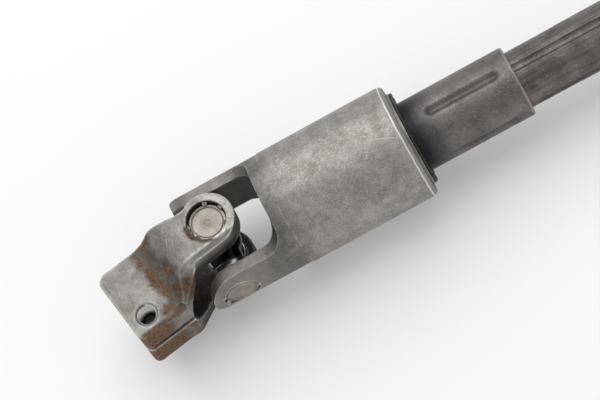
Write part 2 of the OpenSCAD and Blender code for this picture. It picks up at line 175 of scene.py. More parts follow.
def stretch(tree, value, low, high):
    """Spreads the values from low to high over 0 to 1."""
    inputs = (("Value", value), ("From Min", low), ("From Max", high))
    return add_node(tree, "ShaderNodeMapRange", inputs).outputs["Result"]


def mix_colour(tree, factor, first, second):
    """Mixes two colours and gives back the socket of the result."""
    inputs = ((0, factor), (6, first), (7, second))
    return add_node(tree, "ShaderNodeMix", inputs, data_type="RGBA").outputs[2]


def cloud(tree, size_mm, detail=4.0, rough=0.6, vector=None):
    """Noise with spots of about that size, in the object's own coordinates unless others are given."""
    vector = vector or add_node(tree, "ShaderNodeTexCoord").outputs["Object"]
    scale = 1 / (size_mm * MM) if isinstance(size_mm, (int, float)) else size_mm
    inputs = (("Vector", vector), ("Scale", scale), ("Detail", detail), ("Roughness", rough))
    return add_node(tree, "ShaderNodeTexNoise", inputs).outputs["Fac"]


def patchy(tree, size_mm, low, high, detail=4.0, rough=0.6):
    """Patches of about that size: clear where the noise is below low, full where it is above high."""
    return stretch(tree, cloud(tree, size_mm, detail, rough), low, high)


def drawn_out(tree, size, detail, rough, place=(0, 0, 0), turn=(0, 0, 0)):
    """Noise drawn out along one direction: its spots have these three sizes, shifted and turned."""
    metre_mm = 1 / MM
    inputs = (
        ("Vector", add_node(tree, "ShaderNodeTexCoord").outputs["Object"]),
        ("Location", place), ("Rotation", turn), ("Scale", size),
    )
    mapping = add_node(tree, "ShaderNodeMapping", inputs, vector_type="TEXTURE")
    return cloud(tree, metre_mm, detail, rough, mapping.outputs["Vector"])


def new_group(name, inputs, outputs, tree_kind="ShaderNodeTree"):
    """An empty node group with these sockets: gives it back with its input and output nodes."""
    group = bpy.data.node_groups.new(name, tree_kind)
    for socket_name, kind in inputs:
        group.interface.new_socket(socket_name, in_out="INPUT", socket_type="NodeSocket" + kind)
    for socket_name, kind in outputs:
        group.interface.new_socket(socket_name, in_out="OUTPUT", socket_type="NodeSocket" + kind)
    return group, group.nodes.new("NodeGroupInput"), group.nodes.new("NodeGroupOutput")


# Steel tone: two shades in cloudy patches, a speckle, and short scratches that cross each other.
bright_steel = (0.66, 0.64, 0.61, 1)
speckle_dirt = (0.05, 0.045, 0.04, 1)
speckle_height = 0.6
light_patch_rougher = -0.08
scratch_size = (12 * MM, 0.34 * MM, 0.34 * MM)
scratch_turns = ((0, 0.1, 0.4), (0, -0.2, 1.2), (0, 0.15, 2.0), (0, -0.1, 2.75))
tone_inputs = (
    ("Dark", "Color"), ("Light", "Color"), ("Patch Scale", "Float"), ("Speckle Scale", "Float"),
    ("Speckle", "Float"), ("Scratch", "Float"), ("Roughness", "Float"),
)
tone_outputs = (("Color", "Color"), ("Roughness", "Float"), ("Height", "Float"))
tone_group, tone_in, tone_out = new_group("steel_tone", tone_inputs, tone_outputs)
tone_value = tone_in.outputs
patches = patchy(tone_group, tone_value["Patch Scale"], low=0.36, high=0.66, detail=6.0, rough=0.65)
speckle = patchy(tone_group, tone_value["Speckle Scale"], low=0.32, high=0.70, rough=0.75)
scratch_sum = 0.0
for number, scratch_turn in enumerate(scratch_turns):
    scratch_place = (number * MM, 0, 0)
    scratch_noise = drawn_out(
        tone_group, scratch_size, detail=2.0, rough=0.5, place=scratch_place, turn=scratch_turn
    )
    scratch_lines = stretch(tone_group, scratch_noise, low=0.65, high=0.72)
    scratch_sum = calc(tone_group, "MAXIMUM", scratch_sum, scratch_lines)
scratches = calc(tone_group, "MULTIPLY", scratch_sum, tone_value["Scratch"])
tone_colour = mix_colour(tone_group, patches, tone_value["Dark"], tone_value["Light"])
speckle_gaps = calc(tone_group, "SUBTRACT", 1.0, speckle)
speckle_shade = calc(tone_group, "MULTIPLY", speckle_gaps, tone_value["Speckle"])
tone_colour = mix_colour(tone_group, speckle_shade, tone_colour, speckle_dirt)
tone_colour = mix_colour(tone_group, scratches, tone_colour, bright_steel)
tone_rough = calc(tone_group, "MULTIPLY_ADD", patches, light_patch_rougher, tone_value["Roughness"])
tone_height = calc(tone_group, "MULTIPLY_ADD", speckle, speckle_height, patches)
connect(tone_group, tone_out, Color=tone_colour, Roughness=tone_rough, Height=tone_height)

# Edge wear: rounds the normal at an edge and marks how far it turned, where the edge was rubbed.
edge_group, edge_in, edge_out = new_group(
    "edge_wear", (("Width", "Float"),), (("Mask", "Float"), ("Normal", "Vector"))
)
edge_bevel = add_node(edge_group, "ShaderNodeBevel", (("Radius", edge_in.outputs["Width"]),), samples=6)
face_normal = add_node(edge_group, "ShaderNodeNewGeometry").outputs["Normal"]
edge_pair = ((0, edge_bevel.outputs["Normal"]), (1, face_normal))
edge_dot = add_node(edge_group, "ShaderNodeVectorMath", edge_pair, operation="DOT_PRODUCT")
edge_turned = stretch(edge_group, edge_dot.outputs["Value"], low=0.995, high=0.86)
edge_rubbed = patchy(edge_group, size_mm=5.0, low=0.34, high=0.60, detail=5.0, rough=0.7)
edge_mask = calc(edge_group, "MULTIPLY", edge_turned, edge_rubbed)
connect(edge_group, edge_out, Mask=edge_mask, Normal=edge_bevel.outputs["Normal"])

# Lathe marks: fine rings about an axis, on faces square to it and along walls round it.
# The group also gives each point's distance from the axis and its place along it.
lathe_inputs = (("Centre", "Vector"), ("Turn", "Vector"), ("Density", "Float"))
lathe_outputs = (("Value", "Float"), ("Radius", "Float"), ("Along", "Float"))
lathe_group, lathe_in, lathe_out = new_group("lathe_marks", lathe_inputs, lathe_outputs)
lathe_place = (
    ("Vector", add_node(lathe_group, "ShaderNodeTexCoord").outputs["Object"]),
    ("Location", lathe_in.outputs["Centre"]),
    ("Rotation", lathe_in.outputs["Turn"]),
)
lathe_mapping = add_node(lathe_group, "ShaderNodeMapping", lathe_place, vector_type="TEXTURE")
lathe_point = lathe_mapping.outputs["Vector"]
lathe_axial = add_node(lathe_group, "ShaderNodeSeparateXYZ", (("Vector", lathe_point),)).outputs["Z"]
lathe_factors = ((0, lathe_point), (1, (1, 1, 0)))
lathe_flat = add_node(lathe_group, "ShaderNodeVectorMath", lathe_factors, operation="MULTIPLY")
lathe_reach = ((0, lathe_flat.outputs[0]),)
lathe_length = add_node(lathe_group, "ShaderNodeVectorMath", lathe_reach, operation="LENGTH")
lathe_radius = lathe_length.outputs["Value"]
lathe_noise_inputs = (
    ("W", calc(lathe_group, "ADD", lathe_radius, lathe_axial)),
    ("Scale", lathe_in.outputs["Density"]), ("Detail", 3.0), ("Roughness", 0.75),
)
lathe_noise = add_node(lathe_group, "ShaderNodeTexNoise", lathe_noise_inputs, noise_dimensions="1D")
lathe_rings = stretch(lathe_group, lathe_noise.outputs["Fac"], low=0.3, high=0.7)
connect(lathe_group, lathe_out, Value=lathe_rings, Radius=lathe_radius, Along=lathe_axial)


def use_group(tree, group, **values):
    """Adds a node group to a material and fills its inputs."""
    inputs = tuple((name.replace("_", " "), value) for name, value in values.items())
    return add_node(tree, "ShaderNodeGroup", inputs, node_tree=group)


lathe_groove_shade = 0.55
steel_relief_depth = 0.08 * MM


def steel_material(
    name, dark, light, rough, patch_mm,
    speckle_mm=0.6, speckle=0.18, scratch=0.0, edge_mm=0.25, edge_light=0.5, bump=0.25,
    lathe=None, lathe_share=0.3, layers=(),
):
    """Bare steel: cloudy shades, worn edges, and lathe marks if an axis (centre, turn, pitch in mm) is given.
    Each layer holds a function of the tree that makes a mask, its colour, and how much rougher it is."""
    material, tree, shader = new_material(name)
    tone = use_group(
        tree, tone_group, Dark=(*dark, 1), Light=(*light, 1), Patch_Scale=1 / (patch_mm * MM),
        Speckle_Scale=1 / (speckle_mm * MM), Speckle=speckle, Scratch=scratch, Roughness=rough,
    )
    edge = use_group(tree, edge_group, Width=edge_mm * MM)
    colour = tone.outputs["Color"]
    rough_here = tone.outputs["Roughness"]
    height = tone.outputs["Height"]
    if lathe:
        centre, turn, pitch_mm = lathe
        marks = use_group(tree, lathe_group, Centre=centre, Turn=turn, Density=1 / (pitch_mm * MM))
        rings = marks.outputs["Value"]
        shade = calc(tree, "MULTIPLY", rings, lathe_share)
        groove = (*(lathe_groove_shade * part for part in dark), 1)
        colour = mix_colour(tree, shade, colour, groove)
        height = calc(tree, "ADD", height, rings)
    for make_mask, layer_colour, rougher in layers:
        mask = make_mask(tree)
        colour = mix_colour(tree, mask, colour, (*layer_colour, 1))
        rough_here = calc(tree, "MULTIPLY_ADD", mask, rougher, rough_here)
    worn = calc(tree, "MULTIPLY", edge.outputs["Mask"], edge_light)
    colour = mix_colour(tree, worn, colour, bright_steel)
    relief_inputs = (
        ("Strength", bump), ("Distance", steel_relief_depth),
        ("Height", height), ("Normal", edge.outputs["Normal"]),
    )
    relief = add_node(tree, "ShaderNodeBump", relief_inputs).outputs["Normal"]
    connect(tree, shader, Base_Color=colour, Roughness=rough_here, Normal=relief)
    shader.inputs["Metallic"].default_value = 1
    return material


def finish_node(name, material):
    """Gives a CAD node its material."""
    mesh = frame["nodes"][name].data
    for index in range(len(mesh.materials)):
        mesh.materials[index] = material


cross_dark = (0.040, 0.037, 0.034)
cross_light = (0.15, 0.145, 0.14)
finish_node("cross", steel_material("cross_steel", cross_dark, cross_light, rough=0.3, patch_mm=4))

# Needle rollers and thrust pads: ground bearing needles packed round each trunnion, and a thin plastic disc
# on each cup's floor that the trunnion's end runs against. Both stay hidden in the cups.
needle_dark = (0.5, 0.5, 0.5)
needle_light = (0.64, 0.64, 0.65)
needle_material = steel_material(
    "bearing_steel", needle_dark, needle_light, rough=0.28, patch_mm=3, edge_mm=0.1
)
pad_light = (0.74, 0.68, 0.52, 1)
pad_dark = (0.62, 0.55, 0.40, 1)
pad_material, pad_tree, pad_shader = new_material("pad_plastic")
pad_colour = mix_colour(pad_tree, cloud(pad_tree, size_mm=1.1), pad_light, pad_dark)
connect(pad_tree, pad_shader, Base_Color=pad_colour)
pad_shader.inputs["Roughness"].default_value = 0.55
bearing_ends = ("clamp_{}_upper", "clamp_{}_lower", "tube_{}_front", "tube_{}_rear")
for end in bearing_ends:
    finish_node(end.format("needles"), needle_material)
    finish_node(end.format("pad"), pad_material)

# Seals: moulded rubber rings that sit on the trunnions and close the mouth of each cup against the cross.
# They keep the grease in the bearings and are greasy and dusty themselves.
rubber_relief_depth = 0.15 * MM


def rubber_material(name, dark, dust, rough, patch_mm):
    """Black rubber with patches of dust."""
    material, tree, shader = new_material(name)
    dust_noise = cloud(tree, patch_mm, detail=6.0)
    dusty = stretch(tree, dust_noise, low=0.42, high=0.74)
    colour = mix_colour(tree, dusty, (*dark, 1), (*dust, 1))
    relief_inputs = (("Strength", 0.4), ("Distance", rubber_relief_depth), ("Height", dust_noise))
    relief = add_node(tree, "ShaderNodeBump", relief_inputs).outputs["Normal"]
    connect(tree, shader, Base_Color=colour, Normal=relief)
    shader.inputs["Roughness"].default_value = rough
    return material


seal_black = (0.012, 0.012, 0.012)
seal_dust = (0.05, 0.046, 0.042)
seal_material = rubber_material("seal_rubber", seal_black, seal_dust, rough=0.5, patch_mm=2)
for end in bearing_ends:
    finish_node(end.format("seal"), seal_material)

# Bearing cups: drawn steel cups with a turned face, pressed into the ears of both yokes.
# Each face has fine turning rings, a groove inside a lighter rim, and a centre mark; the groove and the centre
# mark are darkened by dirt and by painted shade.
mounts = {mount["name"]: mount for mount in frame["record"]["mounts"]}
clamp_up = Vector(joints["clamp_pivot"]["axis"])
clamp_along = -Vector(mounts["pinion_clamp"]["axis"])
clamp_across = clamp_up.cross(clamp_along)
clamp_frame = Matrix((clamp_along, clamp_across, clamp_up)).transposed().to_4x4()
clamp_frame.translation = joint_centre
cup_frames = {
    "clamp_cup_upper": clamp_frame,
    "clamp_cup_lower": clamp_frame @ Matrix.Rotation(pi, 4, "X"),
    "tube_cup_front": Matrix.Translation(joint_centre) @ Matrix.Rotation(pi / 2, 4, "X"),
    "tube_cup_rear": Matrix.Translation(joint_centre) @ Matrix.Rotation(-pi / 2, 4, "X"),
}
cup_dark = (0.31, 0.28, 0.24)
cup_light = (0.42, 0.385, 0.335)
# Dirt and painted shade for the groove and the centre rings of each face.
cup_dirt_and_shade = (0.13, 0.115, 0.095)
cup_rim = (0.52, 0.49, 0.44)
cup_ground = (0.60, 0.59, 0.57)
cup_wall_rougher = -0.32
cup_wall_clear = 21.0 * MM
cup_wall_full = 20.8 * MM
cup_pitch_mm = 0.35
ring_softness = 0.1 * MM
# Rings on a cup's face: inner and outer radius in mm, share, colour, and how much rougher it is.
cup_rings = (
    (6.45, 7.6, 0.5, cup_rim, 0.0),
    (5.8, 6.15, 0.75, cup_dirt_and_shade, 0.1),
    (1.15, 1.5, 0.45, cup_dirt_and_shade, 0.1),
    (2.2, 2.5, 0.25, cup_dirt_and_shade, 0.1),
)


def ring_band(centre, turn, inner_mm, outer_mm, share):
    """Makes a mask of the ring between two radii about an axis."""

    def make_mask(tree):
        radius = use_group(tree, lathe_group, Centre=centre, Turn=turn).outputs["Radius"]
        inside = stretch(tree, radius, inner_mm * MM - ring_softness, inner_mm * MM + ring_softness)
        outside = stretch(tree, radius, outer_mm * MM + ring_softness, outer_mm * MM - ring_softness)
        return calc(tree, "MULTIPLY", calc(tree, "MULTIPLY", inside, outside), share)

    return make_mask


def cup_wall(centre, turn):
    """Makes a mask of a cup's ground wall, all of it that lies below the turned face."""

    def make_mask(tree):
        along = use_group(tree, lathe_group, Centre=centre, Turn=turn).outputs["Along"]
        return stretch(tree, along, cup_wall_clear, cup_wall_full)

    return make_mask


for cup_name, cup_frame in cup_frames.items():
    cup_place = (tuple(joint_centre), tuple(cup_frame.to_euler()))
    cup_layers = []
    for inner_mm, outer_mm, share, ring_colour, rougher in cup_rings:
        cup_layers.append((ring_band(*cup_place, inner_mm, outer_mm, share), ring_colour, rougher))
    cup_layers.append((cup_wall(*cup_place), cup_ground, cup_wall_rougher))
    cup_material = steel_material(
        "cup_steel_" + cup_name, cup_dark, cup_light, rough=0.48, patch_mm=5, scratch=0.35,
        lathe=(*cup_place, cup_pitch_mm), lathe_share=0.25, layers=cup_layers,
    )
    finish_node(cup_name, cup_material)

# Clamp yoke: a joggled steel forging with a split, bored block and a two-armed fork.
# Its skin is rounded and lightly pitted, bright on worn edges, and rusty in the valleys and round the slit. Shade
# inside the fork, in its holes and recesses and on the lower arm is painted near black.
clamp_voxel = 0.38 * MM
smooth_share = 0.5
clamp_smooth_steps = 2
gusset_smooth_steps = 10
edge_smooth_steps = 2
pit_size = 2.2 * MM
pit_depth = 0.07 * MM
pit_highest = 0.15
# Sizes of the forging in mm. Places count from the cross: x to the column, y off the split side, z up.
gusset_middle = (-19, -12, 16)
gusset_reach = 7
gusset_top = 20
arm_half = 10.3
arm_bevel = 2
bevel_overlap = 2
shoulder_x = -10.36
shoulder_z = 10.5
shoulder_r = 14
bolt_x = -38.3
bolt_y = -11.3
bolt_hole_top = 12.9
countersink_r = 5.0
countersink_low = 13.1
fork_round_x = -11
fork_floor_x = -25
arm_start_x = -17
upper_skin_z = 11
cup_recess_z = 21
ear_rim_z = 23
ear_face_z = 24


def merged_copy(node, piece_name):
    """An object with a welded copy of a CAD node's mesh, without its materials."""
    mesh = frame["nodes"][node].data.copy()
    mesh.materials.clear()
    if "custom_normal" in mesh.attributes:
        mesh.attributes.remove(mesh.attributes["custom_normal"])
    shape = bmesh.new()
    shape.from_mesh(mesh)
    bmesh.ops.remove_doubles(shape, verts=shape.verts, dist=0.002 * MM)
    shape.to_mesh(mesh)
    shape.free()
    return new_object(piece_name, mesh)


def settle(piece):
    """Turns a piece's modifiers into plain mesh."""
    evaluated = piece.evaluated_get(bpy.context.evaluated_depsgraph_get())
    mesh = bpy.data.meshes.new_from_object(evaluated)
    piece.modifiers.clear()
    piece.data = mesh
    return mesh


def mesh_array(items, field, width):
    """One field of a mesh's points or edges as rows of an array."""
    values = np.empty(len(items) * width, dtype=int if field == "vertices" else float)
    items.foreach_get(field, values)
    return values.reshape(-1, width)


def neighbour_mean(mesh, values):
    """For each point, the mean of the values at the points that share an edge with it."""
    first, second = mesh_array(mesh.edges, "vertices", 2).T
    total = np.zeros_like(values)
    count = np.zeros(len(values))
    for here, there in ((first, second), (second, first)):
        np.add.at(total, here, values[there])
        np.add.at(count, here, 1)
    return total / count.reshape(-1, *[1] * (values.ndim - 1))


def uneven(point, size):
    """How far an uneven surface with lumps of about that size rises or sinks at a point."""
    fall, finer, octaves = 1.0, 2.0, 3
    return noise.fractal(Vector(point) / size, fall, finer, octaves)


clamp_piece = merged_copy("clamp_yoke", "clamp_yoke_forging")
clamp_piece.data.transform(clamp_frame.inverted())
clamp_remesh = clamp_piece.modifiers.new("even_skin", "REMESH")
clamp_remesh.mode = "VOXEL"
clamp_remesh.voxel_size = clamp_voxel
clamp_mesh = settle(clamp_piece)
clamp_points = mesh_array(clamp_mesh.vertices, "co", 3)

# The bevel along the open side of each arm runs on over the shoulder, until it meets the gusset.
x, y, z = (clamp_points / MM).T
past_shoulder = np.minimum(x - shoulder_x, 0)
shoulder_top = shoulder_z + np.sqrt(np.maximum(shoulder_r ** 2 - past_shoulder ** 2, 0))
bevel_leg = np.clip(shoulder_top - gusset_top, 0, arm_bevel)
past_bevel = np.abs(z) - shoulder_top - y - arm_half + bevel_leg
beside_shoulder = (x < shoulder_x + bevel_overlap) & (x > shoulder_x - shoulder_r)
on_shoulder = beside_shoulder & (np.abs(z) > gusset_top) & (y < 0)
bevel_cut = np.where(on_shoulder, np.maximum(past_bevel, 0), 0) / 2 * MM
clamp_points[:, 1] += bevel_cut
clamp_points[:, 2] -= np.sign(z) * bevel_cut

# The skin is smoothed all over, and the gusset's ridge more than the rest.
from_gusset = np.column_stack((x, y, np.abs(z))) - gusset_middle
gusset_blend = np.exp(-np.sum(from_gusset ** 2, axis=1) / gusset_reach ** 2)
for step in range(clamp_smooth_steps + gusset_smooth_steps):
    share = smooth_share if step < clamp_smooth_steps else smooth_share * gusset_blend[:, None]
    clamp_points += share * (neighbour_mean(clamp_mesh, clamp_points) - clamp_points)
clamp_mesh.vertices.foreach_set("co", clamp_points.ravel())
clamp_mesh.update()
clamp_normals = mesh_array(clamp_mesh.vertices, "normal", 3)
clamp_bulge = clamp_points - neighbour_mean(clamp_mesh, clamp_points)
clamp_edge = np.einsum("ij,ij->i", clamp_bulge, clamp_normals) / clamp_voxel
for step in range(edge_smooth_steps):
    clamp_edge += smooth_share * (neighbour_mean(clamp_mesh, clamp_edge) - clamp_edge)
pits = np.array([uneven(point, pit_size) for point in clamp_points])
clamp_points += clamp_normals * (np.minimum(pits, pit_highest) * pit_depth)[:, None]
clamp_mesh.vertices.foreach_set("co", clamp_points.ravel())

x, y, z = (clamp_points / MM).T
from_middle = np.abs(z)
trunnion_r = np.hypot(x, y)
bolt_r = np.hypot(x - bolt_x, y - bolt_y)
fork_r = np.hypot(np.minimum(x - fork_round_x, 0), z)


def spot(centre, radius):
    """A soft round spot, strongest in its middle; sizes in mm along the clamp's own axes."""
    squared_distance = (x - centre[0]) ** 2 + (y - centre[1]) ** 2 + (z - centre[2]) ** 2
    return np.exp(-squared_distance / radius ** 2)


def band(values, middle, half_width):
    """A soft band about one value."""
    return np.exp(-((values - middle) / half_width) ** 2)


def ramp(values, none_at, full_at):
    """Grows from 0 at one value to 1 at another, and stays level beyond them."""
    return np.clip((values - none_at) / (full_at - none_at), 0, 1)


def strongest(marks):
    """At each point the strongest of some marks, each given by its strength and by where it lies."""
    return np.max([strength * place for strength, place in marks], axis=0)


# Rust: in the valley and the pockets of the upper side, at the cup, in the slit, on the split face and below.
cup_edge = band(trunnion_r, middle=8.2, half_width=1.2) * (z > ear_rim_z)
cup_edge = cup_edge * ramp(x, none_at=0, full_at=-3) * ramp(y, none_at=5, full_at=2)
slit = band(z, middle=0, half_width=3.0) * ramp(y, none_at=-6, full_at=-11)
split_face = band(y, middle=-18.3, half_width=1.6) * ramp(x, none_at=-28, full_at=-37) * (z > 0)
lower_flange = ramp(z, none_at=0, full_at=-3) * ramp(y, none_at=-8, full_at=-17)
lower_flange_end = ramp(x, none_at=-24, full_at=-34)
lower_flange_least = 0.4
rust_marks = (
    (0.56, band(x, middle=-28.0, half_width=3.6) * (z > upper_skin_z)),
    (0.58, spot(centre=(-22.7, -4, 18.5), radius=5.5)),
    (0.66, spot(centre=(-29, -15.5, 13), radius=5)),
    (0.60, spot(centre=(-23, 11.5, 17.5), radius=4.5)),
    (1.00, spot(centre=(-20, -13, 15), radius=6)),
    (0.60, cup_edge),
    (0.62, slit),
    (0.95, split_face),
    (0.95, lower_flange * np.maximum(lower_flange_end, lower_flange_least)),
    (0.45, ramp(z, none_at=0, full_at=-15)),
    (0.10, np.ones(len(x))),
)
clamp_rust = strongest(rust_marks)
stain_marks = (
    (1.00, clamp_rust),
    (0.58, band(x, middle=-26, half_width=5) * (z > upper_skin_z)),
)
clamp_stain = strongest(stain_marks)

# Painted shade and grime: painted shade inside the fork, on the lower arm, in the bolt hole and in the recesses
# round the cups; beside the arm and under the gusset it is partly dirt and partly painted shade; at the cup's edge
# it is dirt.
arm_side = ramp(from_middle, none_at=21, full_at=16) * ramp(y, none_at=-8.6, full_at=-9.6)
shade_and_grime_marks = (
    (1.00, ramp(fork_r, none_at=13.9, full_at=13.4) * (x > fork_floor_x)),
    (0.60, ramp(z, none_at=0, full_at=-6) * ramp(x, none_at=-30, full_at=-22)),
    (0.85, ramp(bolt_r, none_at=4.7, full_at=3.7) * (z < bolt_hole_top)),
    (0.90, ramp(trunnion_r, none_at=8.0, full_at=7.5) * (from_middle > cup_recess_z)),
    (0.75, arm_side * (x > arm_start_x)),
    (0.75, spot(centre=(-20.5, -12.5, 15), radius=4.5)),
    (0.50, cup_edge),
)
clamp_shade_and_grime = strongest(shade_and_grime_marks)

# Bright metal: on sharp edges, most of all along the arm's bevel, and on the rubbed end of the ear.
# The edges at the cup and on the gusset stay dull.
edge_gain = 9
bevel_gain = 16
edge_threshold = 0.15
hollow_threshold = 0.1
ear_polish = 0.5
arm_strip = ramp(y, none_at=-6.5, full_at=-7.5) * ramp(from_middle, none_at=16, full_at=18)
arm_strip = arm_strip * ramp(x, none_at=-17, full_at=-14)
sharp_edges = clamp_edge * (edge_gain + bevel_gain * arm_strip) - edge_threshold
ear_end = ear_polish * ramp(x, none_at=0, full_at=5) * (z > ear_face_z)
dull_marks = (
    (1.00, cup_edge),
    (0.70, spot(centre=(-19.5, -12, 16), radius=6)),
)
bright_marks = (
    (1.00, np.maximum(sharp_edges, ear_end) * (1 - strongest(dull_marks))),
    (0.30, (bolt_r < countersink_r) * (z > countersink_low)),
    (0.55, spot(centre=(-14.5, -9.8, 21), radius=2.2)),
)
clamp_worn = strongest(bright_marks)


def add_mask(mesh, name, values):
    """Stores one value from 0 to 1 per point for the material."""
    attribute = mesh.attributes.new(name, "FLOAT", "POINT")
    attribute.data.foreach_set("value", np.clip(values, 0, 1).astype(np.float32))


def read_mask(tree, name):
    """Reads a mask that the mesh carries."""
    return add_node(tree, "ShaderNodeAttribute", attribute_name=name).outputs["Fac"]


def carried_mask(name, share):
    """Makes a mask from one that the mesh carries."""

    def make_mask(tree):
        return calc(tree, "MULTIPLY", read_mask(tree, name), share)

    return make_mask


add_mask(clamp_mesh, "rust", clamp_rust)
add_mask(clamp_mesh, "shade_and_grime", clamp_shade_and_grime)
add_mask(clamp_mesh, "worn", clamp_worn)
add_mask(clamp_mesh, "stain", clamp_stain)
add_mask(clamp_mesh, "hollow", -edge_gain * clamp_edge - hollow_threshold)
clamp_mesh.shade_smooth()
clamp_mesh.transform(clamp_frame)

forged_dark = (0.265, 0.252, 0.238, 1)
forged_light = (0.40, 0.385, 0.367, 1)
forged_bright = (0.68, 0.66, 0.63, 1)
forged_relief_depth = 0.14 * MM
rust_light = (0.285, 0.135, 0.045, 1)
rust_dark = (0.043, 0.025, 0.014, 1)
rust_rougher = 0.25
rust_grain_share = 0.45
rust_patch_share = 0.55
stain_colour = (0.115, 0.092, 0.073, 1)
stain_share = 0.82
shade_and_grime_colour = (0.012, 0.010, 0.008, 1)
shade_and_grime_share = 0.93
hollow_share = 0.7
pit_share = 0.75
pit_spacing = 2.4 * MM
worn_least = 0.35
worn_patch_share = 0.6
worn_rougher = -0.2
forged_material, forged_tree, forged_shader = new_material("forged_steel")
forged_tone = use_group(
    forged_tree, tone_group, Dark=forged_dark, Light=forged_light, Patch_Scale=1 / (9 * MM),
    Speckle_Scale=1 / (0.55 * MM), Speckle=0.42, Scratch=0.35, Roughness=0.54,
)
rust_grain = patchy(forged_tree, size_mm=0.9, low=0.36, high=0.64, detail=6.0, rough=0.85)
rust_patch = patchy(forged_tree, size_mm=4.0, low=0.33, high=0.67)
rust_noise = calc(forged_tree, "MULTIPLY", rust_patch, rust_patch_share)
rust_noise = calc(forged_tree, "MULTIPLY_ADD", rust_grain, rust_grain_share, rust_noise)
rust_level = calc(forged_tree, "ADD", read_mask(forged_tree, "rust"), rust_noise)
rust_cover = stretch(forged_tree, rust_level, low=0.92, high=1.14)
rust_shade = patchy(forged_tree, size_mm=1.1, low=0.40, high=0.68, detail=7.0, rough=0.8)
rust_colour = mix_colour(forged_tree, rust_shade, rust_dark, rust_light)
stain_level = calc(forged_tree, "ADD", read_mask(forged_tree, "stain"), cloud(forged_tree, size_mm=5.0))
stain_spread = stretch(forged_tree, stain_level, low=0.72, high=1.02)
stain_cover = calc(forged_tree, "MULTIPLY", stain_spread, stain_share)
pit_place = add_node(forged_tree, "ShaderNodeTexCoord").outputs["Object"]
pit_inputs = (("Vector", pit_place), ("Scale", 1 / pit_spacing))
pit_cells = add_node(forged_tree, "ShaderNodeTexVoronoi", pit_inputs)
pit_spots = stretch(forged_tree, pit_cells.outputs["Distance"], low=0.17, high=0.08)
pit_patches = patchy(forged_tree, size_mm=6.0, low=0.45, high=0.6)
pit_shade = calc(forged_tree, "MULTIPLY", pit_spots, pit_patches)
pit_dirt = calc(forged_tree, "MULTIPLY", pit_shade, pit_share)
hollow_dirt = calc(forged_tree, "MULTIPLY", read_mask(forged_tree, "hollow"), hollow_share)
# Near black over the painted shade and grime inside the fork, in the holes and recesses and on the lower arm.
shade_and_grime_cover = calc(forged_tree, "MULTIPLY", read_mask(forged_tree, "shade_and_grime"), shade_and_grime_share)
worn_patch = patchy(forged_tree, size_mm=1.6, low=0.36, high=0.6, detail=3.0)
worn_share = calc(forged_tree, "MULTIPLY_ADD", worn_patch, worn_patch_share, worn_least)
worn_bare = calc(forged_tree, "MULTIPLY", read_mask(forged_tree, "worn"), worn_share)
forged_covers = (
    (hollow_dirt, rust_dark), (pit_dirt, rust_dark), (stain_cover, stain_colour),
    (rust_cover, rust_colour), (shade_and_grime_cover, shade_and_grime_colour), (worn_bare, forged_bright),
)
forged_colour = forged_tone.outputs["Color"]
for cover, cover_colour in forged_covers:
    forged_colour = mix_colour(forged_tree, cover, forged_colour, cover_colour)
forged_metal = calc(forged_tree, "SUBTRACT", 1.0, rust_cover, clamp=True)
forged_rough = calc(forged_tree, "MULTIPLY_ADD", worn_bare, worn_rougher, forged_tone.outputs["Roughness"])
forged_rough = calc(forged_tree, "MULTIPLY_ADD", rust_cover, rust_rougher, forged_rough, clamp=True)
forged_height = calc(forged_tree, "ADD", forged_tone.outputs["Height"], rust_noise)
forged_relief_inputs = (("Strength", 0.6), ("Distance", forged_relief_depth), ("Height", forged_height))
forged_relief = add_node(forged_tree, "ShaderNodeBump", forged_relief_inputs).outputs["Normal"]
connect(forged_tree, forged_shader, Base_Color=forged_colour, Metallic=forged_metal)
connect(forged_tree, forged_shader, Roughness=forged_rough, Normal=forged_relief)
clamp_mesh.materials.append(forged_material)
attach(clamp_piece, "clamp_yoke")
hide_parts("clamp_yoke")

# Pinch bolt thread: the M8 thread that a tap has cut in the clamp's upper flange.
# Its crests are painted bright near the mouth of the hole, as cut steel and as a painted highlight, and painted
# shade darkens it further down.
thread_root_r = 4.15 * MM
thread_crest_r = 3.35 * MM
thread_pitch = 1.25 * MM
thread_root_share = 0.52
thread_crest_share = 0.06
thread_start = 1.9 * MM
thread_turns = 9.2
thread_steps = 48
thread_top = 13.4 * MM
thread_shade_start = 5.0 * MM
thread_fade = 3.0 * MM
thread_dark = (0.20, 0.19, 0.18)
thread_light = (0.42, 0.40, 0.38)
thread_crest_bright_and_highlight = (0.85, 0.84, 0.82)
thread_deep_shade = (0.012, 0.010, 0.008)
thread_profile = (
    (thread_root_r, -thread_root_share), (thread_crest_r, -thread_crest_share),
    (thread_crest_r, thread_crest_share), (thread_root_r, thread_root_share),
)
thread_middle = (bolt_x * MM, bolt_y * MM)
thread_points = []
for step in range(int(thread_turns * thread_steps) + 1):
    turn = tau * step / thread_steps
    height = thread_start + thread_pitch * step / thread_steps
    for radius, share in thread_profile:
        along = thread_middle[0] + radius * cos(turn)
        across = thread_middle[1] + radius * sin(turn)
        thread_points.append((along, across, height + share * thread_pitch))


def strip_faces(rings, ring_size, closed=False):
    """Faces of a tube of rings: a closed one joins its last ring to its first, another gets end faces."""
    faces = []
    for ring in range(rings if closed else rings - 1):
        low, high = ring * ring_size, (ring + 1) % rings * ring_size
        for corner in range(ring_size):
            after = (corner + 1) % ring_size
            faces.append((low + corner, low + after, high + after, high + corner))
    if not closed:
        faces.append(tuple(reversed(range(ring_size))))
        faces.append(tuple(range((rings - 1) * ring_size, rings * ring_size)))
    return faces


def mesh_piece(name, points, faces, material, sharp_angle=35):
    """An object from points and faces with outward normals, smooth up to that edge angle."""
    mesh = bpy.data.meshes.new(name)
    mesh.from_pydata(points, [], faces)
    shape = bmesh.new()
    shape.from_mesh(mesh)
    bmesh.ops.recalc_face_normals(shape, faces=shape.faces)
    shape.to_mesh(mesh)
    shape.free()
    mesh.shade_smooth()
    mesh.set_sharp_from_angle(angle=radians(sharp_angle))
    mesh.materials.append(material)
    return new_object(name, mesh)
